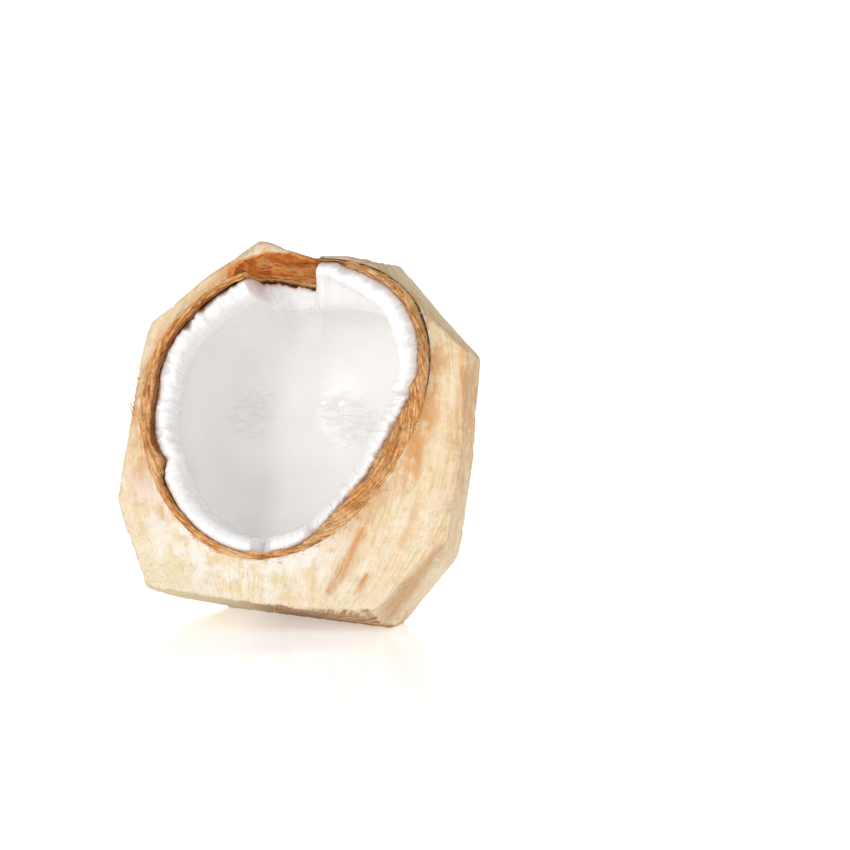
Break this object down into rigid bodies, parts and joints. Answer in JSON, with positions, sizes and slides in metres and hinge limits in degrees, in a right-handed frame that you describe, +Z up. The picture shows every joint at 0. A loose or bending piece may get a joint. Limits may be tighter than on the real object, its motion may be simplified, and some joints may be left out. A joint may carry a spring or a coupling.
{
  "type": "coconut",
  "caption": "Young coconut with its husk pared to a faceted drum and one side split off, showing the shell and the white flesh bowl; it leans back on a small flat.",
  "frame": {"origin": "the rest spot: a point on the small flat that the coconut rests on, under its centre of mass", "axes": "+Z up from the surface it rests on, +X to the right and -Y out of its open side, as seen from the front"},
  "size_m": [0.1197, 0.0882, 0.1254],
  "materials": {
    "husk": "matt, fibrous, freshly pared",
    "shell": "matt, rough broken edge",
    "flesh": "moist, soft sheen"
  },
  "bodies": {
    "root": {"husk": "husk", "shell": "shell", "flesh": "flesh"}
  },
  "joints": []
}
